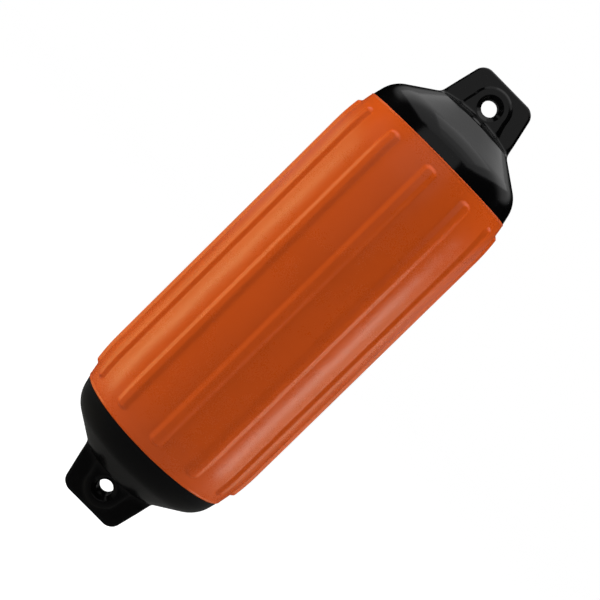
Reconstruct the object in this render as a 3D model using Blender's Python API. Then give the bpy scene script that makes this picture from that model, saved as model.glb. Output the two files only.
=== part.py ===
"""A twin-eye pneumatic boat fender.

A ribbed vinyl body laps over two moulded ends, each with a flat lug and a rope eye, and the upper end
carries a flush inflation valve on its back.  The fender hangs by its upper eye, which is the origin.
+Z runs up along the fender, both eyes look along Y and the lugs lie in the XZ plane.  Metres throughout.
"""
import math

import bmesh
import bpy
import numpy as np
from mathutils import Matrix, Vector

# Sizes of the whole fender
body_radius = 0.1086
body_length = 0.4475
body_wall = 0.004
end_wall = 0.005
clearance = 0.0003
lap_length = 0.020
colour_step = 0.0006

# Ribs along the body
rib_count = 12
plain_band = 0.0135
rib_height = 0.0036
rib_foot_width = 0.0205
rib_crest_width = 0.0095

# Outline of an end, named from the eye inwards
eye_height = 0.0238
cap_rise = 0.008
cap_radius = 0.0527
cap_round = 0.006
crown_angle = math.radians(34.7)
knuckle_round = 0.037
shoulder_angle = math.radians(15)
shoulder_drop = 0.0118
seam_drop = 0.024714
skirt_taper = 0.010

# Lug
lug_tip_height = 0.0318
lug_tip_half_width = 0.0387
lug_taper = math.radians(13.3)
lug_corner_round = 0.011
lug_thickness = 0.028
lug_edge_round = 0.003
lug_root_fillet = 0.008

# Boss and eye
boss_thickness = 0.036
boss_foot_radius = 0.0245
boss_crest_radius = 0.0210
eye_waist_radius = 0.0095
eye_mouth_radius = 0.0165
eye_mouth_depth = 0.003
eye_draft = math.radians(1)

# Valve
valve_pad_radius = 0.016
valve_pad_height = 0.002
valve_flange_radius = 0.012
valve_flange_thickness = 0.0015
valve_stem_radius = 0.009
valve_stem_length = 0.016
valve_bead_radius = 0.0105
valve_bead_length = 0.003
valve_bead_gap = 0.0009
valve_cup_depth = 0.0045
valve_cup_radius = 0.0068
screw_shank_radius = 0.0030
screw_head_thickness = 0.0026
screw_slot_width = 0.0016
screw_slot_depth = 0.0013
seal_thickness = 0.0012

# Fineness of the faceted solids
overrun = 0.004
weld = 0.00001
around_steps = 72
round_steps = 4
hollow_steps = 3
hole_steps = 32
valve_steps = 24
lug_side_steps = 8
rib_end_steps = 4
edge_steps = 2
cap_shares = (0, 0.5)
lap_shares = (0, 0.5, 1)
valley_shares = (1 / 3, 2 / 3)
fillet_angles = [math.radians(angle) for angle in (20, 45, 70, 90)]

# How far each side of the end's outline tilts from level
cap_tilt = math.atan(2 * cap_rise / cap_radius)
shoulder_tilt = math.pi / 2 - shoulder_angle
body_tilt = math.pi / 2

# Heights on the fender's axis, measured outwards from an eye's centre
knuckle_radius = body_radius - shoulder_drop
cap_edge_height = -eye_height
knuckle_height = cap_edge_height - (knuckle_radius - cap_radius) * math.tan(crown_angle)
shoulder_height = knuckle_height - shoulder_drop / math.tan(shoulder_angle)
seam_height = knuckle_height - seam_drop
eye_spacing = body_length - 2 * seam_height
middle_height = -eye_spacing / 2

# The shoulder's long arc starts where the knuckle's arc ends
knuckle_run = knuckle_round * math.tan((shoulder_tilt - crown_angle) / 2)
shoulder_run = shoulder_drop / math.sin(shoulder_angle) - knuckle_run
shoulder_round = shoulder_run / math.tan(shoulder_angle / 2)

# The valve sits in the middle of the crown's straight part, and its screw fits its cup
valve_offset = (cap_radius + knuckle_radius - knuckle_run * math.cos(crown_angle)) / 2
screw_head_radius = valve_cup_radius - 2 * clearance


def rounded(corners, steps):
    """Outline through (radius, height, rounding) corners, with an arc in place of each rounded one."""
    points = [Vector(corner[:2]) for corner in corners]
    outline = []
    for index, (corner, (_, _, rounding)) in enumerate(zip(points, corners)):
        if not rounding:
            outline.append(corner)
            continue
        before = (points[index - 1] - corner).normalized()
        after = (points[index + 1] - corner).normalized()
        half_angle = before.angle(after) / 2
        centre = corner + (before + after).normalized() * rounding / math.sin(half_angle)
        start = corner + before * rounding / math.tan(half_angle) - centre
        end = corner + after * rounding / math.tan(half_angle) - centre
        turn = math.pi - 2 * half_angle
        for step in range(steps + 1):
            share = step / steps
            arm = start * math.sin((1 - share) * turn) + end * math.sin(share * turn)
            outline.append(centre + arm / math.sin(turn))
    return outline


def cap_height(radius):
    """Height of the end's surface near its axis: a shallow crowned cap, then the steep crown."""
    if radius < cap_radius:
        return cap_edge_height + cap_rise * (1 - (radius / cap_radius) ** 2)
    return cap_edge_height - (radius - cap_radius) * math.tan(crown_angle)


def sunk(radius, height, tilt_before, tilt_after, depth):
    """An outline's corner moved inwards, square to both of its sides."""
    middle_tilt = (tilt_before + tilt_after) / 2
    reach = depth / math.cos((tilt_after - tilt_before) / 2)
    return radius - reach * math.sin(middle_tilt), height - reach * math.cos(middle_tilt)


def outline_corners(depth, edge_round):
    """Corners from an end's cap to the body's middle, on the outside or at a depth below it."""
    cap = [(share * cap_radius, cap_height(share * cap_radius) - depth, 0) for share in cap_shares]
    return cap + [
        (*sunk(cap_radius, cap_edge_height, cap_tilt, crown_angle, depth), edge_round),
        (*sunk(knuckle_radius, knuckle_height, crown_angle, shoulder_tilt, depth), knuckle_round - depth),
        (*sunk(body_radius, shoulder_height, shoulder_tilt, body_tilt, depth), shoulder_round - depth),
        (body_radius - depth, middle_height, 0),
    ]


outside = rounded(outline_corners(0, cap_round), round_steps)
outside_heights = [point.y for point in reversed(outside)]
outside_radii = [point.x for point in reversed(outside)]


def radius_at(height):
    """Radius of the plain outside at a height measured from an eye's centre."""
    return float(np.interp(height, outside_heights, outside_radii))


def material(name, colour, roughness, metallic=0.0):
    """A Principled material with one colour."""
    made = bpy.data.materials.new(name)
    made.use_nodes = True
    shader = made.node_tree.nodes["Principled BSDF"]
    shader.inputs["Base Color"].default_value = (*colour, 1)
    shader.inputs["Roughness"].default_value = roughness
    shader.inputs["Metallic"].default_value = metallic
    return made


def finished(name, bm, finish=None):
    """Turn a bmesh into an object, with its faces pointing out and its round parts shaded smooth."""
    bmesh.ops.recalc_face_normals(bm, faces=bm.faces)
    mesh = bpy.data.meshes.new(name)
    bm.to_mesh(mesh)
    bm.free()
    mesh.shade_smooth()
    mesh.set_sharp_from_angle(angle=math.radians(30))
    if finish:
        mesh.materials.append(finish)
    made = bpy.data.objects.new(name, mesh)
    bpy.context.collection.objects.link(made)
    return made


def skin(rings, closed):
    """A bmesh over rings of points with equal counts: joined end to end, or capped at both ends."""
    bm = bmesh.new()
    loops = [[bm.verts.new(point) for point in ring] for ring in rings]
    pairs = list(zip(loops, loops[1:]))
    if closed:
        pairs.append((loops[-1], loops[0]))
    else:
        bm.faces.new(loops[0])
        bm.faces.new(reversed(loops[-1]))
    for low, high in pairs:
        for index in range(len(low)):
            after = (index + 1) % len(low)
            bm.faces.new((low[index], low[after], high[after], high[index]))
    return bm


def turned(name, outline, steps, finish=None):
    """A solid of revolution about Z, from an outline that starts and ends on the axis."""
    bm = bmesh.new()
    verts = [bm.verts.new((radius, 0, height)) for radius, height in outline]
    edges = [bm.edges.new(pair) for pair in zip(verts, verts[1:])]
    bmesh.ops.spin(bm, geom=verts + edges, axis=(0, 0, 1), cent=(0, 0, 0), steps=steps, angle=math.tau)
    bmesh.ops.remove_doubles(bm, verts=bm.verts, dist=weld)
    return finished(name, bm, finish)


def combine(target, tool, operation):
    """Join a guide to a piece or cut it away, and keep the guide out of the finished model."""
    tool.hide_render = True
    tool.display_type = "WIRE"
    step = target.modifiers.new(tool.name, "BOOLEAN")
    step.operation = operation
    step.object = tool


def rib_rise(across, along):
    """Height of a rib at a distance across it and a distance past the end of its straight run."""
    foot = rib_foot_width / 2
    crest = rib_crest_width / 2
    share = (foot - math.hypot(across, along)) / (foot - crest)
    return rib_height * min(max(share, 0), 1)


def body_column_angles():
    """Each outer column's angle, and its angle from the nearest rib: four on a rib, two in a valley."""
    pitch = math.tau / rib_count
    foot = rib_foot_width / 2 / body_radius
    crest = rib_crest_width / 2 / body_radius
    valley = pitch - 2 * foot
    offsets = [-foot, -crest, crest, foot] + [foot + valley * share for share in valley_shares]
    return [(rib * pitch + offset, offset) for rib in range(rib_count) for offset in offsets]


def ribbed_body(finish):
    """The vinyl body: an open tube that narrows at both ends, with ribs raised along its outside."""
    rib_end = body_length / 2 - plain_band
    straight_end = rib_end - rib_foot_width / 2
    shoulder_start = shoulder_height - middle_height - shoulder_run
    turns = [math.pi / 2 * step / rib_end_steps for step in range(1, rib_end_steps + 1)]
    distances = [shoulder_start, (shoulder_start + straight_end) / 2, straight_end]
    distances += [straight_end + rib_foot_width / 2 * math.sin(turn) for turn in turns]
    distances += [rib_end + plain_band / 2, body_length / 2]
    distances.sort()
    inner_distances = [body_length / 2 - lap_length * share for share in lap_shares]
    inner_distances += [(shoulder_start + inner_distances[-1]) / 2, shoulder_start]
    columns = body_column_angles()
    rings = []
    for distance in [-run for run in reversed(distances)] + distances:
        ring = []
        for angle, offset in columns:
            rise = rib_rise(offset * body_radius, max(abs(distance) - straight_end, 0))
            radius = radius_at(middle_height + abs(distance)) + rise
            ring.append((radius * math.sin(angle), -radius * math.cos(angle), distance))
        rings.append(ring)
    for distance in inner_distances + [-run for run in reversed(inner_distances)]:
        radius = radius_at(middle_height + abs(distance)) - body_wall
        ring = []
        for index in range(len(columns)):
            angle = math.tau * index / len(columns)
            ring.append((radius * math.sin(angle), -radius * math.cos(angle), distance))
        rings.append(ring)
    body = finished("ribbed_body", skin(rings, closed=True), finish)
    body.location.z = middle_height
    return body


def end_shell_outline():
    """Outside of a moulded end: cap, crown and knuckle, then the skirt that the body laps over."""
    face = seam_height + clearance
    step = body_wall + clearance
    above = [point for point in outside if point.y > face]
    outline = [Vector((max(point.x - colour_step, 0), point.y)) for point in above]
    outline.append(Vector((radius_at(face) - colour_step, face)))
    outline.append(Vector((radius_at(face) - step, face)))
    for share in lap_shares:
        height = seam_height - lap_length * share
        outline.append(Vector((radius_at(height) - step, height)))
    outline.append(Vector((0, seam_height - lap_length)))
    return outline


def end_hollow_outline():
    """Air space inside a moulded end: one wall thickness in, then through the skirt to the body."""
    skirt_bore = body_wall + clearance + end_wall
    below_cap = rounded(outline_corners(end_wall, 0), hollow_steps)
    outline = [point for point in below_cap if point.y > seam_height + skirt_taper]
    for share in lap_shares:
        height = seam_height - lap_length * share
        outline.append(Vector((radius_at(height) - skirt_bore, height)))
    bottom = seam_height - lap_length - overrun
    outline.append(Vector((outline[-1].x, bottom)))
    outline.append(Vector((0, bottom)))
    return outline


def lug_ring(half_width, half_thickness, height_of):
    """A rounded rectangle round the lug, with its heights given by a function of the place."""
    corner = min(lug_edge_round, half_thickness / 2)
    quarter = [math.pi / 2 * step / edge_steps for step in range(edge_steps + 1)]
    first = []
    for angle in quarter:
        x = half_width - corner + corner * math.cos(angle)
        y = half_thickness - corner + corner * math.sin(angle)
        first.append((x, y))
    side = half_width - corner
    between = [(side - 2 * side * step / lug_side_steps, half_thickness) for step in range(1, lug_side_steps)]
    back = first + between + [(-x, y) for x, y in reversed(first)]
    front = [(-x, -y) for x, y in back]
    return [(x, y, height_of(x, y)) for x, y in back + front]


def lug_half_width(height):
    """Half the lug's width on its straight sides, which narrow towards the tip."""
    return lug_tip_half_width + (lug_tip_height - height) * math.tan(lug_taper)


def lug(name):
    """The flat lug: a fillet that follows the cap, straight narrowing sides and a rounded tip."""
    half_thickness = lug_thickness / 2
    root_depth = cap_edge_height - end_wall - lug_root_fillet
    root_half_width = lug_half_width(cap_edge_height)
    rings = []
    for angle in fillet_angles:
        spread = lug_root_fillet * (1 - math.sin(angle))
        rise = lug_root_fillet * (1 - math.cos(angle))
        narrowing = rise * math.tan(lug_taper)
        rings.append(lug_ring(
            root_half_width - narrowing + spread,
            half_thickness + spread,
            lambda x, y, rise=rise: cap_height(math.hypot(x, y)) + rise,
        ))
    bottom = [(x, y, root_depth) for x, y, _ in rings[0]]
    rings.insert(0, bottom)
    corner_centre = lug_tip_half_width - lug_corner_round * (1 - math.sin(lug_taper)) / math.cos(lug_taper)
    corner_base = lug_tip_height - lug_corner_round
    edge_base = lug_tip_height - lug_edge_round
    for step in range(round_steps + 1):
        angle = lug_taper + (math.pi / 2 - lug_taper) * step / round_steps
        height = corner_base + lug_corner_round * math.sin(angle)
        half_width = corner_centre + lug_corner_round * math.cos(angle)
        over_edge = max(height - edge_base, 0)
        thinning = lug_edge_round - math.sqrt(max(lug_edge_round ** 2 - over_edge ** 2, 0))
        rings.append(lug_ring(half_width, half_thickness - thinning, lambda x, y, height=height: height))
    return finished(name, skin(rings, closed=False))


def horseshoe(radius, side, bottom):
    """The boss's outline on one plane: an arc over the eye and two legs that spread towards the dome."""
    top_steps = hole_steps // 2
    start = lug_taper
    sweep = math.pi - 2 * lug_taper
    arc = [start + sweep * step / top_steps for step in range(top_steps + 1)]
    points = [(radius * math.cos(angle), side, radius * math.sin(angle)) for angle in arc]
    leg = radius / math.cos(lug_taper) - bottom * math.tan(lug_taper)
    return [(leg, side, bottom)] + points + [(-leg, side, bottom)]


def boss(name):
    """The thick horseshoe round the eye, with sloping flanks, on both faces of the lug."""
    bottom = cap_edge_height - end_wall
    foot_side = lug_thickness / 2
    crest_side = boss_thickness / 2
    rings = [
        horseshoe(boss_crest_radius, -crest_side, bottom),
        horseshoe(boss_foot_radius, -foot_side, bottom),
        horseshoe(boss_foot_radius, foot_side, bottom),
        horseshoe(boss_crest_radius, crest_side, bottom),
    ]
    return finished(name, skin(rings, closed=False))


def eye_cutter(name):
    """The eye: narrowest in the middle, opening a little by its draft, with wide conical mouths."""
    mouth = boss_thickness / 2
    cone_start = mouth - eye_mouth_depth
    cone_radius = eye_waist_radius + cone_start * math.tan(eye_draft)
    half = [(eye_waist_radius, 0), (cone_radius, cone_start), (eye_mouth_radius, mouth)]
    half.append((eye_mouth_radius, mouth + overrun))
    half.append((0, mouth + overrun))
    mirrored = [(radius, -along) for radius, along in reversed(half[1:])]
    cutter = turned(name, mirrored + half, hole_steps)
    cutter.rotation_euler.x = math.pi / 2
    return cutter


def moulded_end(name, finish):
    """One moulded end: the domed shell with its skirt, the lug, the boss and the rope eye."""
    end = turned(name, end_shell_outline(), around_steps, finish)
    guides = [
        (lug(name + "_lug"), "UNION"),
        (boss(name + "_boss"), "UNION"),
        (turned(name + "_hollow", end_hollow_outline(), around_steps), "DIFFERENCE"),
        (eye_cutter(name + "_eye"), "DIFFERENCE"),
    ]
    for guide, operation in guides:
        guide.parent = end
        combine(end, guide, operation)
    return end


def valve_seat(end, axis):
    """Raise a round pad on the crown for the valve and bore through it and the wall below."""
    bore_radius = valve_stem_radius + clearance
    pad_outline = [
        (0, valve_pad_height),
        (valve_pad_radius - valve_pad_height / 2, valve_pad_height),
        (valve_pad_radius, valve_pad_height / 2),
        (valve_pad_radius, -end_wall / 2),
        (0, -end_wall / 2),
    ]
    pad = turned("valve_pad", pad_outline, valve_steps)
    bore_outline = [
        (0, valve_pad_height + overrun),
        (bore_radius, valve_pad_height + overrun),
        (bore_radius, -end_wall - overrun),
        (0, -end_wall - overrun),
    ]
    bore = turned("valve_bore", bore_outline, valve_steps)
    pad.parent = axis
    bore.parent = axis
    combine(end, pad, "UNION")
    combine(end, bore, "DIFFERENCE")


def valve_body(axis, finish):
    """The flanged valve bush, held by a bead inside the wall, with a cup for the screw's head."""
    top = valve_pad_height + clearance + valve_flange_thickness
    underside = valve_pad_height + clearance
    bottom = top - valve_stem_length
    bead_top = -end_wall - valve_bead_gap
    outline = [
        (0, top),
        (valve_flange_radius - valve_flange_thickness / 2, top),
        (valve_flange_radius, top - valve_flange_thickness / 2),
        (valve_flange_radius, underside),
        (valve_stem_radius, underside),
        (valve_stem_radius, bead_top),
        (valve_bead_radius, bead_top),
        (valve_bead_radius, bead_top - valve_bead_length / 2),
        (valve_stem_radius, bead_top - valve_bead_length),
        (valve_stem_radius, bottom),
        (0, bottom),
    ]
    shank_bore = screw_shank_radius + clearance
    bore_outline = [
        (0, top + overrun),
        (valve_cup_radius, top + overrun),
        (valve_cup_radius, top - valve_cup_depth),
        (shank_bore, top - valve_cup_depth),
        (shank_bore, bottom - overrun),
        (0, bottom - overrun),
    ]
    bush = turned("valve_body", outline, valve_steps, finish)
    bore = turned("valve_body_bore", bore_outline, valve_steps)
    bush.parent = axis
    bore.parent = axis
    combine(bush, bore, "DIFFERENCE")
    return top


def valve_seal(axis, cup_floor, finish):
    """The soft ring under the screw's head."""
    inner = screw_shank_radius + clearance
    outer = valve_cup_radius - 2 * clearance
    low = cup_floor + clearance
    high = low + seal_thickness
    rings = []
    for radius, height in ((inner, low), (outer, low), (outer, high), (inner, high)):
        angles = [math.tau * step / valve_steps for step in range(valve_steps)]
        rings.append([(radius * math.cos(angle), radius * math.sin(angle), height) for angle in angles])
    seal = finished("valve_seal", skin(rings, closed=True), finish)
    seal.parent = axis
    return high


def valve_screw(axis, head_floor, finish):
    """The slotted screw plug that closes the valve, its head sunk in the bush's cup."""
    low = head_floor + clearance
    high = low + screw_head_thickness
    tip = valve_pad_height - valve_stem_length
    outline = [
        (0, high),
        (screw_head_radius - screw_head_thickness / 4, high),
        (screw_head_radius, high - screw_head_thickness / 4),
        (screw_head_radius, low),
        (screw_shank_radius, low),
        (screw_shank_radius, tip + screw_shank_radius / 2),
        (screw_shank_radius / 2, tip),
        (0, tip),
    ]
    screw = turned("valve_screw", outline, valve_steps, finish)
    bm = bmesh.new()
    slot_size = (2 * (screw_head_radius + overrun), screw_slot_width, 2 * screw_slot_depth)
    bmesh.ops.create_cube(bm, size=1, matrix=Matrix.Diagonal((*slot_size, 1)))
    slot = finished("valve_screw_slot", bm)
    slot.location.z = high
    screw.parent = axis
    slot.parent = axis
    combine(screw, slot, "DIFFERENCE")


def place_valve_axis():
    """An empty on the back of the upper crown, its Z axis square to the crown's surface."""
    axis = bpy.data.objects.new("valve_axis", None)
    bpy.context.collection.objects.link(axis)
    axis.location = (0, valve_offset, cap_height(valve_offset))
    axis.rotation_euler.x = -crown_angle
    return axis


def build():
    """Make the whole fender, hanging from its upper eye."""
    for item in list(bpy.data.objects):
        bpy.data.objects.remove(item, do_unlink=True)
    orange_vinyl = material("orange_vinyl", (0.42, 0.075, 0.012), 0.42)
    black_vinyl = material("black_vinyl", (0.012, 0.012, 0.013), 0.22)
    black_nylon = material("black_nylon", (0.02, 0.02, 0.021), 0.45)
    seal_rubber = material("seal_rubber", (0.03, 0.03, 0.03), 0.8)
    grey_nylon = material("grey_nylon", (0.16, 0.16, 0.165), 0.5)

    ribbed_body(orange_vinyl)
    upper_end = moulded_end("upper_end", black_vinyl)
    lower_end = moulded_end("lower_end", black_vinyl)
    lower_end.location.z = -eye_spacing
    lower_end.rotation_euler.x = math.pi

    axis = place_valve_axis()
    valve_seat(upper_end, axis)
    valve_top = valve_body(axis, black_nylon)
    seal_top = valve_seal(axis, valve_top - valve_cup_depth, seal_rubber)
    valve_screw(axis, seal_top, grey_nylon)


build()
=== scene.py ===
# %% [markdown]
# # A twin-eye boat fender
#
# The real object is an inflatable boat fender: a ribbed orange vinyl body between two black moulded
# ends, each with a flat lug and a rope eye.  It hangs by its upper eye, which is the origin of this
# scene, and its length runs along Z.  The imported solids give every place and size.  They could be shown
# as they are, but their facets would catch the light, so each one gets a finer skin, modelled by hand.

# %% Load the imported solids
import math

import bmesh
import bpy
import numpy as np
from mathutils import Matrix, Vector


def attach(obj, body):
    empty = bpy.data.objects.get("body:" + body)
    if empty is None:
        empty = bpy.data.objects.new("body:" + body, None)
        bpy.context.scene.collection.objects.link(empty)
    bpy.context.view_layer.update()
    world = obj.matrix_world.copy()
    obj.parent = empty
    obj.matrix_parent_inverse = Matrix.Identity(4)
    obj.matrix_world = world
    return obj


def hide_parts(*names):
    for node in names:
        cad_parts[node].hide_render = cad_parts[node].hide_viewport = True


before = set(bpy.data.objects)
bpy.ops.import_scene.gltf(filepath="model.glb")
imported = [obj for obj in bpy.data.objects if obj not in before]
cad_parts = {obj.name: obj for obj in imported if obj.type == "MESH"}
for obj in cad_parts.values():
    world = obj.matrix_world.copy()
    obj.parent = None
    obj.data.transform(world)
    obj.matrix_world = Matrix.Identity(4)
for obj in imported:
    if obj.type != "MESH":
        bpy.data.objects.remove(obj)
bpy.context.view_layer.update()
print("solids:", sorted(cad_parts))

# %% [markdown]
# ## Sizes
#
# A skin has to sit where its solid sits, so it repeats the solid's own named values, in metres.  They
# could be measured on the solids, but the round values say better what each size is for.  The lug, the
# boss and the eye have values of their own further down, within a millimetre or two of the solid's.

# %% Sizes of the body and of an end's outline
body_radius = 0.1086
body_length = 0.4475
body_wall = 0.004
end_wall = 0.005
clearance = 0.0003
lap_length = 0.020
colour_step = 0.0006
eye_spacing = 0.6056
eye_height = 0.0238
cap_rise = 0.008
cap_radius = 0.0527
cap_round = 0.006
crown_angle = math.radians(34.7)
knuckle_radius = 0.0968
knuckle_round = 0.037
shoulder_angle = math.radians(15)
shoulder_drop = 0.0118

middle_height = -eye_spacing / 2
seam_height = middle_height + body_length / 2
knuckle_height = -eye_height - (knuckle_radius - cap_radius) * math.tan(crown_angle)
shoulder_height = knuckle_height - shoulder_drop / math.tan(shoulder_angle)
print("seam at", round(seam_height, 4), "and middle at", middle_height)

# %% [markdown]
# ## The outline
#
# Body and ends are round about Z, so one outline of radius against height gives them both.  It could be
# a curve drawn by eye, but straight lines with rounded corners are how a mould is drawn, and they keep
# each radius exact.  A corner's arc starts and ends where it touches the two lines.


# %% Round the corners of an outline
def rounded(corners, steps):
    """Points through (radius, height, rounding) corners, with an arc at each rounded one."""
    points = [Vector(corner[:2]) for corner in corners]
    outline = []
    for index, (corner, (_, _, rounding)) in enumerate(zip(points, corners)):
        if not rounding:
            outline.append(corner)
            continue
        before = (points[index - 1] - corner).normalized()
        after = (points[(index + 1) % len(points)] - corner).normalized()
        half_angle = before.angle(after) / 2
        centre = corner + (before + after).normalized() * rounding / math.sin(half_angle)
        start = corner + before * rounding / math.tan(half_angle) - centre
        end = corner + after * rounding / math.tan(half_angle) - centre
        turn = math.pi - 2 * half_angle
        for step in range(steps + 1):
            share = step / steps
            arm = start * math.sin((1 - share) * turn) + end * math.sin(share * turn)
            outline.append(centre + arm / math.sin(turn))
    return outline


def cap_height(radius):
    """Height of an end near its axis: a shallow crowned cap, then the steep crown."""
    if radius < cap_radius:
        return cap_rise * (1 - (radius / cap_radius) ** 2) - eye_height
    return -eye_height - (radius - cap_radius) * math.tan(crown_angle)


# %% Draw the fender's outline from an end's cap to the middle
knuckle_turn = math.pi / 2 - shoulder_angle - crown_angle
knuckle_run = knuckle_round * math.tan(knuckle_turn / 2)
shoulder_run = shoulder_drop / math.sin(shoulder_angle) - knuckle_run
shoulder_round = shoulder_run / math.tan(shoulder_angle / 2)
cap_shares = np.linspace(0, 0.86, 9)
outline_arc_steps = 16
corners = [(share * cap_radius, cap_height(share * cap_radius), 0) for share in cap_shares]
corners += [
    (cap_radius, -eye_height, cap_round),
    (knuckle_radius, knuckle_height, knuckle_round),
    (body_radius, shoulder_height, shoulder_round),
    (body_radius, middle_height, 0),
]
outside = rounded(corners, outline_arc_steps)
outside_heights = [point.y for point in reversed(outside)]
outside_radii = [point.x for point in reversed(outside)]


def radius_at(height):
    """Radius of the plain outside at a height, in either half of the fender."""
    mirrored = middle_height + abs(height - middle_height)
    return float(np.interp(mirrored, outside_heights, outside_radii))


print(len(outside), "outline points, radius at the seam", round(radius_at(seam_height), 5))

# %% [markdown]
# ## Working by hand, from a script
#
# Blender's mesh operators act on whatever is selected, as they do for a hand at the mouse.  The solids
# arrive selected, so each step starts with nothing selected, and then picks faces or edges by their
# place.  Edit mode also remembers whether points, edges or faces were picked last, so each new piece
# goes back to points.  A spin is how a turned or rotationally moulded part is drawn: one profile, swept
# once round.


# %% Small helpers for selecting and finishing
def work_on(piece):
    """Leave edit mode, deselect everything, and make one piece the active and only selected one."""
    if bpy.context.object and bpy.context.object.mode != "OBJECT":
        bpy.ops.object.mode_set(mode="OBJECT")
    bpy.ops.object.select_all(action="DESELECT")
    bpy.context.view_layer.objects.active = piece
    piece.select_set(True)


def start_piece(name, primitive, **settings):
    """Add a primitive, name it, put its place into its mesh and open it for editing its points."""
    if bpy.context.object and bpy.context.object.mode != "OBJECT":
        bpy.ops.object.mode_set(mode="OBJECT")
    bpy.ops.object.select_all(action="DESELECT")
    primitive(**settings)
    piece = bpy.context.object
    piece.name = name
    piece.data.name = name
    bpy.ops.object.transform_apply(location=True, rotation=True, scale=True)
    bpy.ops.object.mode_set(mode="EDIT")
    bpy.ops.mesh.select_mode(type="VERT")
    return piece


def pick(kind, test):
    """In edit mode, select only the verts, edges or faces that pass a test, and count them."""
    piece = bpy.context.object
    bpy.ops.mesh.select_all(action="DESELECT")
    bpy.ops.mesh.select_mode(type={"verts": "VERT", "edges": "EDGE", "faces": "FACE"}[kind])
    bm = bmesh.from_edit_mesh(piece.data)
    chosen = [part for part in getattr(bm, kind) if test(part)]
    for part in chosen:
        part.select_set(True)
    bm.select_flush_mode()
    bmesh.update_edit_mesh(piece.data)
    return len(chosen)


def slide(kind, value):
    """Extrude the selection by an operator and move it."""
    operators = {"vert": bpy.ops.mesh.extrude_vertices_move, "face": bpy.ops.mesh.extrude_region_move}
    operators[kind](TRANSFORM_OT_translate={"value": value})


def use(piece, kind, **settings):
    """Add one modifier to a piece and apply it."""
    work_on(piece)
    step = piece.modifiers.new(kind.title(), kind)
    for name, value in settings.items():
        setattr(step, name, value)
    bpy.ops.object.modifier_apply(modifier=step.name)


# %% Spin a profile into a solid
weld_distance = 0.000005


def spun(name, profile, steps, ring=False):
    """Draw a profile point by point in the XZ plane and spin it round Z, as a ring or from the axis."""
    first = Vector((profile[0][0], 0, profile[0][1]))
    piece = start_piece(name, bpy.ops.mesh.primitive_plane_add, size=weld_distance, location=first)
    bpy.ops.mesh.merge(type="CENTER")
    for (radius, height), (last_radius, last_height) in zip(profile[1:], profile):
        slide("vert", (radius - last_radius, 0, height - last_height))
    if ring:
        ends = (first, Vector((profile[-1][0], 0, profile[-1][1])))
        pick("verts", lambda vert: min((vert.co - end).length for end in ends) < weld_distance)
        bpy.ops.mesh.edge_face_add()
    bpy.ops.mesh.select_all(action="SELECT")
    bpy.ops.mesh.spin(steps=steps, angle=math.tau, center=(0, 0, 0), axis=(0, 0, 1))
    bpy.ops.mesh.select_all(action="SELECT")
    bpy.ops.mesh.remove_doubles(threshold=weld_distance)
    bpy.ops.mesh.normals_make_consistent(inside=False)
    work_on(piece)
    return piece


def finish_piece(piece, sharp_degrees=35):
    """Shade a piece smooth but for its sharp edges, and print its size."""
    work_on(piece)
    bpy.ops.object.shade_smooth_by_angle(angle=math.radians(sharp_degrees))
    triangles = sum(len(face.vertices) - 2 for face in piece.data.polygons)
    print(piece.name, "has", triangles, "triangles")


# %% [markdown]
# ## The ribbed orange body
#
# The real body is a soft vinyl tube with twelve raised ribs, whose ends are round.  The ribs could be
# separate bars laid on the tube, but on a moulded body they grow out of the wall with a soft foot.  So
# the plain tube is spun from its profile, with close rows where a rib ends, each rib's shape is painted
# as vertex weights, and one Displace modifier raises them all.  The tube's own end is a thin, slightly
# swollen lip, where the orange vinyl was trimmed against the black.

# %% Rows of the body's profile
rib_count = 12
rib_height = 0.0036
rib_foot = 0.0100
rib_crest = 0.0026
rib_end_steepness = 1.45
plain_band = 0.0130
lip_reach = 0.0075
row_overlap = 0.001
foot_row_gap = 0.006
rib_end = body_length / 2 - plain_band
rib_straight = rib_end - rib_foot / rib_end_steepness
shoulder_start = shoulder_height - middle_height - shoulder_run
body_columns = 720

# How far in from the tube's end, and how far above its plain outside.
lip = [
    (0.0000, -0.0006),
    (0.0002, -0.0001),
    (0.0006, 0.0002),
    (0.0012, 0.0003),
    (0.0018, 0.0001),
    (0.0024, -0.0001),
    (0.0031, -0.0001),
    (0.0042, 0.0000),
]
half_rows = [(body_length / 2 - inset, rise) for inset, rise in lip]
half_rows += [(row, 0) for row in np.linspace(body_length / 2 - lip_reach, rib_end + row_overlap, 3)]
half_rows += [(row, 0) for row in np.linspace(rib_end, rib_straight - row_overlap, 13)]
half_rows += [(row, 0) for row in np.linspace(rib_straight - foot_row_gap, shoulder_start, 6)]
half_rows += [(row, 0) for row in np.linspace(shoulder_start, 0, 16)[1:-1]]
inner_rows = [body_length / 2 - lap_length * share for share in (0, 0.5, 1)]
inner_rows += list(np.linspace(inner_rows[-1], shoulder_start, 5)[1:]) + [shoulder_start / 2]


def body_profile():
    """Outside of the body from its upper lip to its lower one, then the inside back up."""
    upper = [(radius_at(middle_height + row) + rise, middle_height + row) for row, rise in half_rows]
    lower = [(radius, 2 * middle_height - height) for radius, height in reversed(upper)]
    middle = [(radius_at(middle_height), middle_height)]
    inner = [(radius_at(middle_height + row) - body_wall, middle_height - row) for row in inner_rows]
    inner_up = [(radius, 2 * middle_height - height) for radius, height in reversed(inner)]
    return upper + middle + lower + inner + inner_up


body_skin = spun("ribbed_body_skin", body_profile(), body_columns, ring=True)
print(len(body_skin.data.vertices), "points in the plain tube")


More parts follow.
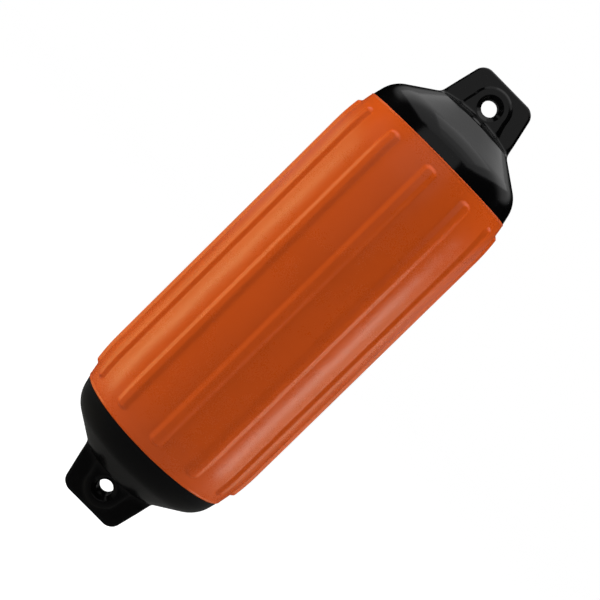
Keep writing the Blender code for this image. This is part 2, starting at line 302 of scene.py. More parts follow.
# %% Paint the ribs as vertex weights and raise them
def rib_weight(point):
    """How much of a rib's height a point of the body gets: 1 on the crest and 0 in the valleys."""
    outside_radius = radius_at(point.z)
    if math.hypot(point.x, point.y) < outside_radius - body_wall / 2:
        return 0
    pitch = math.tau / rib_count
    angle = math.atan2(point.x, -point.y)
    across = (angle - pitch * round(angle / pitch)) * outside_radius
    along = max(abs(point.z - middle_height) - rib_straight, 0) * rib_end_steepness
    share = (rib_foot - math.hypot(across, along)) / (rib_foot - rib_crest)
    share = min(max(share, 0), 1)
    return share * share * (3 - 2 * share)


def paint(piece, group_name, weight):
    """Write a weight for each point of a piece into a vertex group."""
    group = piece.vertex_groups.new(name=group_name)
    for vert in piece.data.vertices:
        value = weight(vert.co)
        if value > 0:
            group.add([vert.index], value, "REPLACE")


paint(body_skin, "ribs", rib_weight)
use(body_skin, "DISPLACE", vertex_group="ribs", strength=rib_height, mid_level=0)
finish_piece(body_skin)

# %% [markdown]
# ## The moulded ends
#
# A real end is one thick moulding: dome, flat lug and a horseshoe boss round the eye all flow into each
# other.  Joining them with booleans alone would leave hard creases, and bevels on such edges tear.  So
# simple closed shapes are laid into each other, remeshed into one skin of small squares, and smoothed
# most where the real moulding has its fillets.

# %% Sizes of the lug, boss and eye
lug_tip_height = 0.0310
lug_tip_half_width = 0.0387
lug_taper = math.radians(13.3)
lug_corner_round = 0.011
lug_thickness = 0.030
lug_edge_round = 0.003
boss_thickness = 0.036
boss_foot_radius = 0.0240
boss_crest_radius = 0.0222
eye_waist_radius = 0.0095
eye_mouth_radius = 0.0150
eye_mouth_depth = 0.004
eye_mouth_round = 0.002
eye_throat_round = 0.001
eye_draft = math.radians(1)
dome_columns = 240
boss_columns = 96
eye_columns = 96
eye_arc_steps = 8


# %% Spin the plain dome
def end_dome(name):
    """The outside of an end from its cap to just below the seam, closed by a flat bottom."""
    bottom = seam_height - lap_length / 2
    above = [point for point in outside if point.y > bottom]
    profile = [(max(point.x - colour_step, 0), point.y) for point in above]
    profile += [(radius_at(bottom) - colour_step, bottom), (0, bottom)]
    return spun(name, profile, dome_columns)


blank = end_dome("end_blank")
print(len(blank.data.vertices), "points in the dome")


# %% Shape the flat lug from a block
def lug_block(name):
    """A block that narrows towards the tip, with two round corners and soft edges round its faces."""
    bottom = -eye_height - end_wall - lug_edge_round
    height = lug_tip_height - bottom
    piece = start_piece(
        name,
        bpy.ops.mesh.primitive_cube_add,
        size=1,
        location=(0, 0, bottom + height / 2),
        scale=(2 * lug_tip_half_width, lug_thickness, height),
    )
    root_half_width = lug_tip_half_width + height * math.tan(lug_taper)
    pick("verts", lambda vert: vert.co.z < 0)
    bpy.ops.transform.resize(value=(root_half_width / lug_tip_half_width, 1, 1))
    pick("edges", lambda edge: all(vert.co.z > 0 for vert in edge.verts) and is_along_y(edge))
    bpy.ops.mesh.bevel(offset=lug_corner_round, segments=12, affect="EDGES")
    pick("edges", lambda edge: not is_along_y(edge) and not is_bottom(edge, bottom))
    bpy.ops.mesh.bevel(offset=lug_edge_round, segments=4, affect="EDGES")
    work_on(piece)
    return piece


def is_along_y(edge):
    """Whether an edge runs through the lug's thickness."""
    return abs(edge.verts[0].co.y - edge.verts[1].co.y) > lug_thickness / 2


def is_bottom(edge, bottom):
    """Whether an edge lies in the lug's flat bottom, which is inside the dome."""
    return all(abs(vert.co.z - bottom) < weld_distance for vert in edge.verts)


lug_piece = lug_block("lug")
print("lug is", [round(side, 4) for side in lug_piece.dimensions])


# %% Shape the horseshoe boss from a cylinder
def horseshoe_boss(name):
    """A disc over the eye, its lower half drawn down into the dome, with sloping flanks on both faces."""
    bottom = -eye_height - end_wall
    piece = start_piece(
        name,
        bpy.ops.mesh.primitive_cylinder_add,
        vertices=boss_columns,
        radius=boss_foot_radius,
        depth=lug_thickness,
        rotation=(math.pi / 2, 0, 0),
    )
    pick("verts", lambda vert: vert.co.z < -weld_distance)
    bpy.ops.transform.resize(value=(1, 1, 0), center_override=(0, 0, bottom))
    leg = boss_foot_radius / math.cos(lug_taper) - bottom * math.tan(lug_taper)
    bpy.ops.transform.resize(value=(leg / boss_foot_radius, 1, 1), center_override=(0, 0, bottom))
    crest_share = boss_crest_radius / boss_foot_radius
    flank_depth = (boss_thickness - lug_thickness) / 2
    half_way = lug_thickness / 2 + flank_depth / 2
    for side in (-1, 1):
        pick("faces", lambda face, side=side: face.normal.y * side > 0.9)
        slide("face", (0, side * flank_depth, 0))
        bpy.ops.transform.resize(value=(crest_share, 1, 1), center_override=(0, 0, 0))
        pick("verts", lambda vert, side=side: vert.co.z > 0 and vert.co.y * side > half_way)
        bpy.ops.transform.resize(value=(1, 1, crest_share), center_override=(0, 0, 0))
    bpy.ops.mesh.select_all(action="SELECT")
    bpy.ops.mesh.normals_make_consistent(inside=False)
    work_on(piece)
    return piece


boss_piece = horseshoe_boss("boss")
print("boss is", [round(side, 4) for side in boss_piece.dimensions])

# %% [markdown]
# ## From blank to moulding
#
# The lug and the boss are joined to the dome as they are, overlapping.  A voxel remesh keeps only the
# outside of the heap, in one even skin.  Then Smooth modifiers work like a thumb run along wet clay:
# many passes in the root, where the fillet is some 8 mm, half as many on the boss's rounded rim, and a
# few everywhere else.

# %% Sizes of the remesh and of the smoothing
voxel_size = 0.0011
root_reach = 0.012
boss_root_reach = 0.004
root_fade = 1.5
rim_fade = 2
rim_start = 0.6
root_passes = 60
rim_passes = 30
skin_passes = 3
smooth_factor = 0.5


# %% Weld the blank into one skin
def joined(target, *others):
    """Join copies of other pieces into a target."""
    work_on(target)
    for other in others:
        other.select_set(True)
    bpy.ops.object.join()
    return target


def copy_of(piece, name):
    """A copy of a piece with its own mesh."""
    made = piece.copy()
    made.data = piece.data.copy()
    made.name = name
    made.data.name = name
    bpy.context.collection.objects.link(made)
    return made


def root_weight(point):
    """1 in the crease where the lug or the boss meets the dome, fading to 0 at a fillet's reach."""
    above = point.z - cap_height(math.hypot(point.x, point.y))
    boss_leg = boss_foot_radius - point.z * math.tan(lug_taper)
    half_thickness = boss_thickness / 2 if abs(point.x) < boss_leg else lug_thickness / 2
    half_width = lug_tip_half_width + (lug_tip_height - point.z) * math.tan(lug_taper)
    beside = max(abs(point.y) - half_thickness, abs(point.x) - half_width, 0)
    reach = boss_root_reach if abs(point.x) < boss_leg else root_reach
    share = 1 - math.hypot(above, beside) / reach
    return min(max(share * root_fade, 0), 1)


def rim_weight(point):
    """1 on the face and the crest of the boss, whose edge is well rounded, and 0 at its flank's foot."""
    share = (abs(point.y) - lug_thickness / 2) / (boss_thickness - lug_thickness) * 2
    return min(max(share * rim_fade - rim_start, 0), 1) if point.z > -eye_height else 0


def moulded(piece):
    """Remesh a blank of overlapping shapes into one skin, and smooth it, most of all along the root."""
    use(piece, "REMESH", mode="VOXEL", voxel_size=voxel_size, adaptivity=0)
    paint(piece, "root", root_weight)
    use(piece, "SMOOTH", factor=smooth_factor, iterations=root_passes, vertex_group="root")
    paint(piece, "rim", rim_weight)
    use(piece, "SMOOTH", factor=smooth_factor, iterations=rim_passes, vertex_group="rim")
    use(piece, "SMOOTH", factor=smooth_factor, iterations=skin_passes)
    return piece


blank = joined(blank, lug_piece, boss_piece)
print(len(blank.data.vertices), "points in the blank")

# %% [markdown]
# ## The valve's pad
#
# A fender that holds air has a valve, and here it sits on the back of the upper end, out of the
# photo's sight.  Its round pad could be a piece of its own, but on a moulding it grows out of the wall.
# So it is laid on the crown before the remesh, and comes out in one with the end.

# %% Lay the valve's pad on the upper blank
valve_pad_radius = 0.016
valve_pad_height = 0.002
valve_columns = 96
pad_arc_steps = 6
valve_offset = (cap_radius + knuckle_radius - knuckle_run * math.cos(crown_angle)) / 2
valve_seat = Matrix.Translation((0, valve_offset, cap_height(valve_offset)))
valve_place = valve_seat @ Matrix.Rotation(-crown_angle, 4, "X")


def seated(piece):
    """Move a piece that was modelled upright at the origin to the valve's seat on the crown."""
    work_on(piece)
    piece.matrix_world = valve_place
    bpy.ops.object.transform_apply(location=True, rotation=True, scale=True)
    return piece


pad_corners = [
    (0, valve_pad_height, 0),
    (valve_pad_radius, valve_pad_height, valve_pad_height / 2),
    (valve_pad_radius, -end_wall, 0),
    (0, -end_wall, 0),
]
pad = seated(spun("valve_pad", rounded(pad_corners, pad_arc_steps), valve_columns))
lower_blank = copy_of(blank, "lower_end_skin")
upper_end_skin = moulded(joined(blank, pad))
upper_end_skin.name = "upper_end_skin"
lower_end_skin = moulded(lower_blank)
print(len(upper_end_skin.data.vertices), "points in the upper end's skin")

# %% [markdown]
# ## The eyes
#
# The rope's eye goes straight through lug and boss, and opens into a short cone on each face, so that no
# sharp edge saws at the rope.  It could be moulded with the rest, but the remesh and the smoothing would
# blur it.  So it is cut last, by one spun cutter of the eye's own shape, and stays true.


# %% Cut the eye with its conical mouths
def eye_cutter(name):
    """The eye's own shape: narrowest in the middle, a little draft, and wide cones on both faces."""
    mouth = boss_thickness / 2 + weld_distance
    cone_start = mouth - eye_mouth_depth
    cone_radius = eye_waist_radius + cone_start * math.tan(eye_draft)
    half = rounded(
        [
            (eye_waist_radius, 0, 0),
            (cone_radius, cone_start, eye_throat_round),
            (eye_mouth_radius, mouth, eye_mouth_round),
            (eye_mouth_radius + eye_mouth_round, mouth, 0),
            (eye_mouth_radius + eye_mouth_round, mouth + eye_mouth_depth, 0),
            (0, mouth + eye_mouth_depth, 0),
        ],
        eye_arc_steps,
    )
    profile = [(radius, -height) for radius, height in reversed(half[1:])] + half
    cutter = spun(name, profile, eye_columns)
    cutter.rotation_euler.x = math.pi / 2
    bpy.ops.object.transform_apply(location=True, rotation=True, scale=True)
    return cutter


def cut(piece, cutter, keep_cutter=False):
    """Take a cutter's shape away from a piece."""
    use(piece, "BOOLEAN", operation="DIFFERENCE", object=cutter, solver="EXACT")
    if not keep_cutter:
        bpy.data.objects.remove(cutter)


cutter = eye_cutter("eye_cutter")
cut(upper_end_skin, cutter, keep_cutter=True)
cut(lower_end_skin, cutter)
print("eyes are", 2000 * eye_waist_radius, "mm across at the waist")

# %% [markdown]
# ## Skirt and hollow
#
# Below the seam an end narrows to a skirt that is pushed into the body, and inside it is hollow.  The
# inside could be a second spun shell taken away with a boolean.  It is quicker to slice the moulding
# flat at the seam, and then to extrude the flat face: in, down, in again, and up under the dome.

# %% Extrude the skirt and the hollow from the flat seam
skirt_gap = body_wall + clearance
wall_gap = skirt_gap + end_wall
skirt_heights = [seam_height - lap_length * share for share in (0, 0.5, 1)]
inside_path = [(radius_at(seam_height) - skirt_gap, seam_height + clearance)]
inside_path += [(radius_at(height) - skirt_gap, height) for height in skirt_heights[1:]]
inside_path += [(radius_at(height) - wall_gap, height) for height in reversed(skirt_heights)]
hollow = [point for point in outside if point.y > seam_height + lap_length / 2][::-3]
inside_path += [(point.x - end_wall, point.y - end_wall) for point in hollow if point.x > cap_radius]
face_height = seam_height + clearance


def is_cut_face(face):
    """Whether a face is the flat one that the slice at the seam leaves."""
    return face.normal.z < -0.9 and face.calc_center_median().z < face_height + weld_distance


def hollowed(piece):
    """Slice a moulding at the seam and extrude its flat face along the inside path."""
    work_on(piece)
    bpy.ops.object.mode_set(mode="EDIT")
    bpy.ops.mesh.select_all(action="SELECT")
    cut_place = {"plane_co": (0, 0, face_height), "plane_no": (0, 0, 1)}
    bpy.ops.mesh.bisect(**cut_place, use_fill=True, clear_inner=True)
    pick("faces", is_cut_face)
    last_radius, last_height = radius_at(face_height) - colour_step, face_height
    for radius, height in inside_path:
        slide("face", (0, 0, height - last_height))
        share = radius / last_radius
        bpy.ops.transform.resize(value=(share, share, 1), center_override=(0, 0, height))
        last_radius, last_height = radius, height
    work_on(piece)
    return piece


hollowed(upper_end_skin)
hollowed(lower_end_skin)
print("inside path has", len(inside_path), "steps")

# %% Turn the lower end over
work_on(lower_end_skin)
lower_end_skin.matrix_world = Matrix.Translation((0, 0, -eye_spacing)) @ Matrix.Rotation(math.pi, 4, "X")
bpy.ops.object.transform_apply(location=True, rotation=True, scale=True)
finish_piece(lower_end_skin)

# %% [markdown]
# ## The valve
#
# The valve is a nylon bush pressed through the wall, a soft ring and a slotted screw plug.  All three
# are turned parts, so each is spun from its profile.  The screw's slot is cut with a small block, as a
# cutter would do it.

# %% Profiles of the valve's three pieces
flange_radius = 0.012
flange_thickness = 0.0015
stem_radius = 0.009
stem_length = 0.016
bead_radius = 0.0105
bead_length = 0.003
bead_gap = 0.0009
cup_depth = 0.0045
cup_radius = 0.0068
shank_radius = 0.003
head_thickness = 0.0026
slot_width = 0.0016
slot_depth = 0.0013
seal_thickness = 0.0012
valve_arc_steps = 5

flange_low = valve_pad_height + clearance
flange_top = flange_low + flange_thickness
stem_bottom = flange_top - stem_length
bead_top = -end_wall - bead_gap
cup_floor = flange_top - cup_depth
seal_low = cup_floor + clearance
seal_top = seal_low + seal_thickness
head_low = seal_top + clearance
head_top = head_low + head_thickness
head_radius = cup_radius - 2 * clearance
bore_radius = shank_radius + clearance
edge_round = flange_thickness / 3

bush_corners = [
    (cup_radius, flange_top, edge_round),
    (flange_radius, flange_top, 1.5 * edge_round),
    (flange_radius, flange_low, edge_round),
    (stem_radius, flange_low, 0),
    (stem_radius, bead_top, 0),
    (bead_radius, bead_top, edge_round),
    (bead_radius, bead_top - bead_length / 2, edge_round),
    (stem_radius, bead_top - bead_length, 0),
    (stem_radius, stem_bottom, edge_round),
    (bore_radius, stem_bottom, edge_round),
    (bore_radius, cup_floor, 0),
    (cup_radius, cup_floor, edge_round),
]
seal_corners = [
    (bore_radius, seal_low, seal_thickness / 4),
    (head_radius, seal_low, seal_thickness / 3),
    (head_radius, seal_top, seal_thickness / 3),
    (bore_radius, seal_top, seal_thickness / 4),
]
screw_corners = [
    (0, head_top, 0),
    (head_radius, head_top, head_thickness / 4),
    (head_radius, head_low, edge_round / 2),
    (shank_radius, head_low, 0),
    (shank_radius, valve_pad_height - stem_length, shank_radius / 2),
    (0, valve_pad_height - stem_length, 0),
]
print("screw head stands", round(1000 * (flange_top - head_top), 2), "mm below the flange")


# %% Spin the bush, the seal and the screw, and seat them
bush_outline = rounded(bush_corners, valve_arc_steps)
seal_outline = rounded(seal_corners, valve_arc_steps)
screw_outline = rounded(screw_corners, valve_arc_steps)
bush_skin = seated(spun("valve_bush_skin", bush_outline, valve_columns, ring=True))
seal_skin = seated(spun("valve_seal_skin", seal_outline, valve_columns, ring=True))
screw_skin = spun("valve_screw_skin", screw_outline, valve_columns)
slot_cutter = start_piece(
    "slot_cutter",
    bpy.ops.mesh.primitive_cube_add,
    size=1,
    location=(0, 0, head_top),
    scale=(4 * head_radius, slot_width, 2 * slot_depth),
)
cut(screw_skin, slot_cutter)
screw_skin = seated(screw_skin)

# %% Bore the valve's seat
bore_profile = [
    (0, end_wall),
    (stem_radius + clearance, end_wall),
    (stem_radius + clearance, -2 * end_wall),
    (0, -2 * end_wall),
]
seat_cutter = seated(spun("seat_cutter", bore_profile, valve_columns))
cut(upper_end_skin, seat_cutter)
for piece in (upper_end_skin, bush_skin, seal_skin, screw_skin):
    finish_piece(piece)

# %% [markdown]
# ## Shader maths in Python
#
# A material's nodes could be wired one call at a time, but sums are easier to read as sums.  This small
# class stands for one output of a node: using +, - or * on it adds a Math node, and any other node
# comes from its one method.


# %% A node's output that can be added, subtracted and multiplied
class Wire:
    """One output socket of a node tree, on which Python's operators add Math nodes."""

    def __init__(self, tree, socket=None):
        self.tree = tree
        self.socket = socket

    def node(self, kind, settings=None, sockets=None, output=0):
        """Add any node: first its settings, then the values or links of its sockets."""
        made = self.tree.nodes.new(kind)
        for name, setting in (settings or {}).items():
            setattr(made, name, setting)
        for name, value in (sockets or {}).items():
            if isinstance(value, Wire):
                self.tree.links.new(value.socket, made.inputs[name])
            else:
                made.inputs[name].default_value = value
        return Wire(self.tree, made.outputs[output])

    def maths(self, operation, first, second):
        """A Math node on two wires or numbers."""
        return self.node("ShaderNodeMath", {"operation": operation}, {0: first, 1: second})

    def __add__(self, other):
        return self.maths("ADD", self, other)

    def __sub__(self, other):
        return self.maths("SUBTRACT", self, other)

    def __rsub__(self, other):
        return self.maths("SUBTRACT", other, self)

    def __mul__(self, other):
        return self.maths("MULTIPLY", self, other)

    __radd__ = __add__
    __rmul__ = __mul__


def new_material(name):
    """A material with a Principled shader, and a wire to start its nodes from."""
    made = bpy.data.materials.new(name)
    made.use_nodes = True
    shader = made.node_tree.nodes["Principled BSDF"]
    return made, shader, Wire(made.node_tree)


def noise(start, size, detail=2.0, seed=0.0):
    """Noise on Object coordinates whose largest spots are about a given size in metres."""
    place = start.node("ShaderNodeTexCoord", output="Object")
    moved = start.node("ShaderNodeMapping", None, {"Vector": place, "Location": (seed, seed, seed)})
    sockets = {"Vector": moved, "Scale": 1 / size, "Detail": detail}
    return start.node("ShaderNodeTexNoise", None, sockets)


def blend_colours(start, factor, first, second):
    """Mix two colours by a factor."""
    sockets = {0: factor, 6: (*first, 1), 7: (*second, 1)}
    return start.node("ShaderNodeMix", {"data_type": "RGBA"}, sockets, output=2)


def bumped(start, height, depth):
    """A Bump node whose highest places stand a given depth above the lowest ones."""
    return start.node("ShaderNodeBump", None, {"Height": height, "Strength": 1.0, "Distance": depth})


def feed(shader, **wires):
    """Link wires to the shader's sockets, by name."""
    for name, wire in wires.items():
        wire.tree.links.new(wire.socket, shader.inputs[name.replace("_", " ").title()])


# %% [markdown]
# ## Orange vinyl
#
# The body is satin vinyl, coloured all through.  It could be one flat colour, but real vinyl has cloudy
# colour, an even fine grain from the mould and slow waves from the air that stretches it.  Three sizes
# of noise give those: clouds for the colour, clouds and grain for the roughness, and waves and grain
# for the bump.

# %% Make the orange vinyl
orange_light = (0.475, 0.0635, 0.0050)
orange_deep = (0.425, 0.0555, 0.0042)
orange_roughness = 0.22
orange_cloud_size = 0.07
orange_grain_size = 0.0012
orange_wave_size = 0.045
orange_relief = 0.0008


def orange_vinyl():
    """Satin orange vinyl with cloudy colour, fine grain and slow waves."""
    made, shader, start = new_material("orange_vinyl")
    clouds = noise(start, orange_cloud_size, detail=5, seed=3)
    grain = noise(start, orange_grain_size)
    waves = noise(start, orange_wave_size, detail=1.5, seed=8)
    feed(
        shader,
        base_color=blend_colours(start, clouds, orange_deep, orange_light),
        roughness=orange_roughness + 0.08 * clouds + 0.03 * grain,
        normal=bumped(start, waves + 0.03 * grain, orange_relief),
    )
    return made


orange = orange_vinyl()
print("orange vinyl has", len(orange.node_tree.nodes), "nodes")

# %% [markdown]
# ## Black vinyl
#
# The ends are cast from harder, glossier black vinyl, whose soft mirror image of the lamps is most of
# what one sees.  A mirror-smooth black would look like glass, so slow waves bend the reflections and a
# little fine grain dulls them.

# %% Make the black vinyl
black_light = (0.0015, 0.0015, 0.0016)
black_deep = (0.0008, 0.0008, 0.0009)
black_roughness = 0.12
black_cloud_size = 0.03
black_grain_size = 0.0009
black_wave_size = 0.03
black_relief = 0.0003


def black_vinyl():
    """Glossy black vinyl with gently wavy reflections."""
    made, shader, start = new_material("black_vinyl")
    clouds = noise(start, black_cloud_size, detail=4, seed=5)
    grain = noise(start, black_grain_size)
    waves = noise(start, black_wave_size, detail=1, seed=2)
    feed(
        shader,
        base_color=blend_colours(start, clouds, black_deep, black_light),
        roughness=black_roughness + 0.05 * clouds,
        normal=bumped(start, waves + 0.02 * grain, black_relief),
    )
    return made


black = black_vinyl()
print("black vinyl has", len(black.node_tree.nodes), "nodes")

# %% [markdown]
# ## The valve's nylon and rubber
#
# Moulded nylon is a little cloudy in its gloss, and soft rubber is dull.  Both are the same recipe with
# other numbers, so one function makes all three small parts' materials.


# %% Make the nylon and the rubber
small_cloud_size = 0.004
small_grain_size = 0.0004
nylon_grain_depth = 0.00002
rubber_grain_depth = 0.00004
nylon_black = (0.020, 0.020, 0.021)
nylon_grey = (0.160, 0.160, 0.165)
rubber_black = (0.030, 0.030, 0.030)


def small_part_material(name, colour, roughness, grain_depth):
    """A plain moulded plastic or rubber with cloudy gloss and fine grain."""
    made, shader, start = new_material(name)
    clouds = noise(start, small_cloud_size, detail=3)
    grain = noise(start, small_grain_size)
    darker = tuple(0.8 * part for part in colour)
    feed(
        shader,
        base_color=blend_colours(start, clouds, darker, colour),
        roughness=roughness + 0.12 * clouds,
        normal=bumped(start, grain, grain_depth),
    )
    return made


black_nylon = small_part_material("black_nylon", nylon_black, 0.38, nylon_grain_depth)
seal_rubber = small_part_material("seal_rubber", rubber_black, 0.70, rubber_grain_depth)
grey_nylon = small_part_material("grey_nylon", nylon_grey, 0.42, nylon_grain_depth)
print("small part materials are made")

# %% [markdown]
# ## Dress the solids
#
# Each skin now stands for its solid, takes the name of the material slot that the record gives it, and
# rides on the fender's one body.  The solid under it gets the same finish.

# %% Hang every skin on the frame
skins = [
    (body_skin, "ribbed_body", "orange_vinyl", orange),
    (upper_end_skin, "upper_end", "black_vinyl", black),
    (lower_end_skin, "lower_end", "black_vinyl", black),
    (bush_skin, "valve_body", "black_nylon", black_nylon),
    (seal_skin, "valve_seal", "seal_rubber", seal_rubber),
    (screw_skin, "valve_screw", "grey_nylon", grey_nylon),
]
for skin, node, slot, finish in skins:
    skin.data.materials.clear()
    skin.data.materials.append(finish)
    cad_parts[node].data.materials.clear()
    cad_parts[node].data.materials.append(finish)
    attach(skin, "root")
    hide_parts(node)
print(len(skins), "skins hung")

# %% [markdown]
# ## Floor
#
# The photograph has no floor in sight, only white.  A pale floor lies well below the fender for the
# other views.  It could be plain white, but then the glossy black ends would mirror it from below.  So
# it is a matt grey that glows for the camera alone, and reflections see it nearly black.

# %% Lay the floor
floor_height = -1.25
floor_size = 24.0
floor_speckle_size = 0.02
floor_light = (0.46, 0.46, 0.46)
floor_deep = (0.42, 0.42, 0.42)
floor_mirrored = (0.05, 0.05, 0.05, 1)
floor_glow = 0.95


def floor_material():
    """A pale matt floor that the camera sees as nearly white."""
    made, shader, start = new_material("floor_white")
    seen = start.node("ShaderNodeLightPath", output="Is Camera Ray")
    mirrored = start.node("ShaderNodeLightPath", output="Is Glossy Ray")
    speckle = noise(start, floor_speckle_size, detail=3)
    pale = blend_colours(start, speckle, floor_deep, floor_light)
    sockets = {0: mirrored, 6: pale, 7: floor_mirrored}
    shader.inputs["Roughness"].default_value = 0.9
    shader.inputs["Emission Strength"].default_value = floor_glow
    feed(
        shader,
        base_color=start.node("ShaderNodeMix", {"data_type": "RGBA"}, sockets, output=2),
        emission_color=blend_colours(start, seen, (0, 0, 0), (1, 1, 1)),
    )
    return made


floor_place = (0, 0, floor_height)
floor = start_piece("floor", bpy.ops.mesh.primitive_plane_add, size=floor_size, location=floor_place)
bpy.ops.mesh.subdivide(number_cuts=3)
work_on(floor)
floor.data.materials.append(floor_material())
print("floor is", abs(floor_height + eye_spacing), "m below the lower eye")

# %% [markdown]
# ## World
#
# A white room could simply be a white world, but then the glossy black ends would mirror white all
# round.  In the photograph they mirror a dark room that is a little lighter behind the fender.  So the
# world is white for the camera, a faint grey for the light it throws on matt surfaces, and nearly black
# for reflections, but for a pale wall behind the fender, low down and high up.

# %% Build the world
room_light = 0.10
low_glow = 0.04
wall_glow = 0.18
high_glow = 0.30
low_band = (-0.05, 0.12)
high_band = (0.3, 0.45)
side_band = (0.1, 0.5)
back_band = (0.92, 0.98)


def ramp(start, value, low, high):
    """0 where a value is under low, 1 where it is over high, and soft in between."""
    return start.node(
        "ShaderNodeMapRange",
        {"interpolation_type": "SMOOTHSTEP"},
        {"Value": value, "From Min": low, "From Max": high},
    )


def studio_world():
    """White to the camera, faint light for matt surfaces, and a dim room in reflections."""
    world = bpy.data.worlds.new("studio")
    world.use_nodes = True
    world.cycles.sampling_method = "NONE"
    start = Wire(world.node_tree)
    background = world.node_tree.nodes["Background"]
    direction = start.node("ShaderNodeTexCoord", output="Generated")
    backwards = start.node("ShaderNodeSeparateXYZ", None, {"Vector": direction}, output="Y")
    upwards = start.node("ShaderNodeSeparateXYZ", None, {"Vector": direction}, output="Z")
    low = 1 - ramp(start, upwards, *low_band)
    high = ramp(start, upwards, *high_band)
    behind = ramp(start, backwards, *side_band) * (1 - ramp(start, backwards, *back_band))
    camera_ray = start.node("ShaderNodeLightPath", output="Is Camera Ray")
    glossy_ray = start.node("ShaderNodeLightPath", output="Is Glossy Ray")
    reflected = low_glow * low + behind * (wall_glow * low + high_glow * high)
    lit = glossy_ray * reflected + (1 - glossy_ray) * room_light
    strength = camera_ray + (1 - camera_ray) * lit
    world.node_tree.links.new(strength.socket, background.inputs["Strength"])
    background.inputs["Color"].default_value = (1, 1, 1, 1)
    return world


bpy.context.scene.world = studio_world()
print("world is ready")

# %% [markdown]
# ## Lamps
#
# The reflections in the black ends tell how the photographer lit the fender: a broad light overhead
# with a brighter core, and large cards in front of it.  One lamp could not give all their edges, so each
# is an area lamp of its own size, whose power is worked out from how bright its face should look.  The
# core and the slope hang a little lower than the broad light, because reflections show only one of two
# lamps in the same plane.


# %% Hang the lamps overhead and in front
def softbox(name, place, aim, size, brightness, colour=(1, 1, 1), mirrored=True):
    """An area lamp of a given width and height, aimed at a point, whose face has a given brightness."""
    data = bpy.data.lights.new(name, "AREA")
    data.shape = "RECTANGLE"
    data.size = size[0]
    data.size_y = size[1]
    data.energy = brightness * math.pi * size[0] * size[1]
    data.color = colour
    lamp = bpy.data.objects.new(name, data)
    bpy.context.collection.objects.link(lamp)
    lamp.location = place
    lamp.rotation_euler = (Vector(aim) - Vector(place)).to_track_quat("-Z", "Y").to_euler()
    lamp.visible_camera = False
    lamp.visible_glossy = mirrored
    data.cycles.use_multiple_importance_sampling = mirrored
    return lamp


middle = Vector((0, 0, middle_height))
softbox("overhead", (-0.22, 0.3, 1.15), (-0.22, 0.3, 0), (2.85, 2.8), 0.46)
softbox("overhead_core", (0.1, -0.05, 1.14), (0.1, -0.05, 0), (1.2, 0.9), 0.46)
softbox("overhead_left", (-1.07, 0.3, 1.15), (-1.07, 0.3, 0), (1.15, 2.8), 0.17)
softbox("overhead_slope", (0.1, -0.75, 1.14), (0.1, -0.75, 0), (1.2, 0.5), 0.13)
softbox("overhead_front", (-0.1, -1.35, 1.15), (-0.1, -1.35, 0), (2.4, 0.5), 0.45)
softbox("front_card", (-0.45, -1.5, 0.55), (-0.45, 0, 0.55), (2.1, 1.0), 0.34)
softbox("front_foot", (-0.45, -1.5, 0.0), (-0.45, 0, 0.0), (2.1, 0.24), 0.28)
softbox("side_card", (-1.3, -0.4, 0.12), (0, -0.4, 0.12), (0.9, 0.28), 0.30)
print("overhead and front lamps hung")

# %% [markdown]
# ## Lamps at the sides
#
# Each flank of the body shows a narrow bright line in a wide soft sheen.  One even softbox would give
# only a broad band.  So each side has a tall narrow strip, and a wide dim box behind it.

# %% Hang a strip and a box on each side
softbox("left_strip", (-1.3, -0.03, -0.56), (0, -0.03, -0.56), (0.22, 0.88), 4.0, (1.0, 0.90, 0.40))
softbox("left_box", (-1.3, 0.65, -0.5), (0, 0.65, -0.5), (1.1, 1.0), 0.9, (1.0, 0.90, 0.35))
softbox("right_strip", (1.3, -0.03, -0.52), (0, -0.03, -0.52), (0.22, 0.63), 4.6, (1.0, 1.0, 0.85))
softbox("right_box", (1.3, 0.65, -0.58), (0, 0.65, -0.58), (1.1, 0.75), 0.75, (1.0, 1.0, 0.70))
print("side lamps hung")

# %% [markdown]
# ## Fill light
#
# The orange vinyl is lit evenly all round, by white walls and a ceiling further off.  Lamps as large as
# those would also show as reflections in the black ends.  So the fills are left out of reflections and
# light only matt colour.

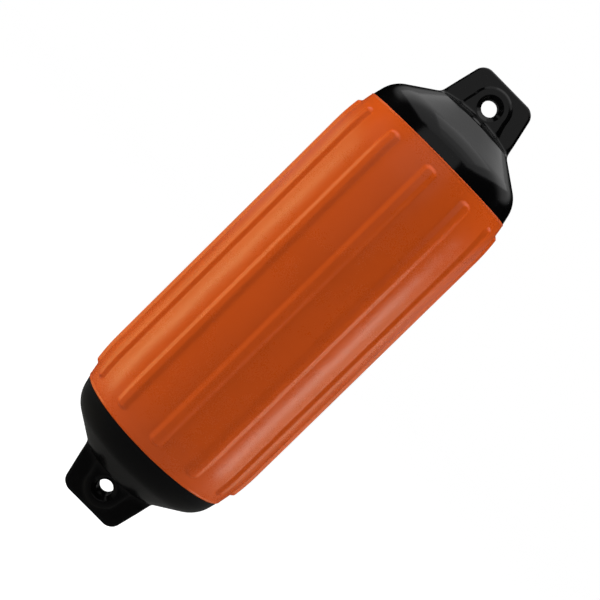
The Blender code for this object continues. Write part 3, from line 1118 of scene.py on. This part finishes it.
# %% Hang the fills
softbox("fill_left", (-2.4, 0, -0.5), middle, (3.0, 2.0), 2.55, mirrored=False)
softbox("fill_right", (2.4, 0, -0.5), middle, (3.0, 2.0), 2.9, mirrored=False)
softbox("fill_top", (0, 0.05, 1.9), middle, (1.8, 1.2), 8.0, mirrored=False)
softbox("fill_front_left", (-1.7, -1.7, -0.3), middle, (3.0, 2.4), 1.4, mirrored=False)
softbox("fill_front_right", (1.7, -1.7, -0.3), middle, (3.0, 2.4), 0.5, mirrored=False)
softbox("fill_back", (0, 2.4, -0.3), middle, (3.0, 2.4), 2.0, mirrored=False)

# %% [markdown]
# ## Camera
#
# The camera was fitted to the fender's outline, seams and rib ends.  It stands 1.9 m away, a little
# above the middle, and is rolled so that the fender lies across the frame from corner to corner.

# %% Place the camera
camera_distance = 1.9
camera_azimuth = math.radians(-1.5)
camera_elevation = math.radians(4.6)
camera_roll = math.radians(45.49)
camera_lens = 101.3
aim_offset = Vector((0.0040, 0, 0.0034))


def photo_camera():
    """A camera at the photograph's place, rolled about its own line of sight."""
    flat = math.cos(camera_elevation) * camera_distance
    height = math.sin(camera_elevation) * camera_distance
    place = middle + Vector((math.sin(camera_azimuth) * flat, -math.cos(camera_azimuth) * flat, height))
    sight = (middle + aim_offset - place).normalized()
    level_right = sight.cross(Vector((0, 0, 1))).normalized()
    level_up = level_right.cross(sight)
    right = level_right * math.cos(camera_roll) + level_up * math.sin(camera_roll)
    up = right.cross(sight)
    data = bpy.data.cameras.new("photo_camera")
    data.sensor_width = 36
    data.lens = camera_lens
    camera = bpy.data.objects.new("photo_camera", data)
    bpy.context.collection.objects.link(camera)
    turn = Matrix((right, up, -sight)).transposed().to_4x4()
    camera.matrix_world = Matrix.Translation(place) @ turn
    return camera


bpy.context.scene.camera = photo_camera()
bpy.context.scene.view_settings.view_transform = "Standard"
print("camera at", [round(part, 3) for part in bpy.context.scene.camera.location])

# %% [markdown]
# ## Finish
#
# The script ends with the body's skin selected and active. A skin may not be bigger than its
# solid.

# %% Finish with the body's skin selected
work_on(body_skin)
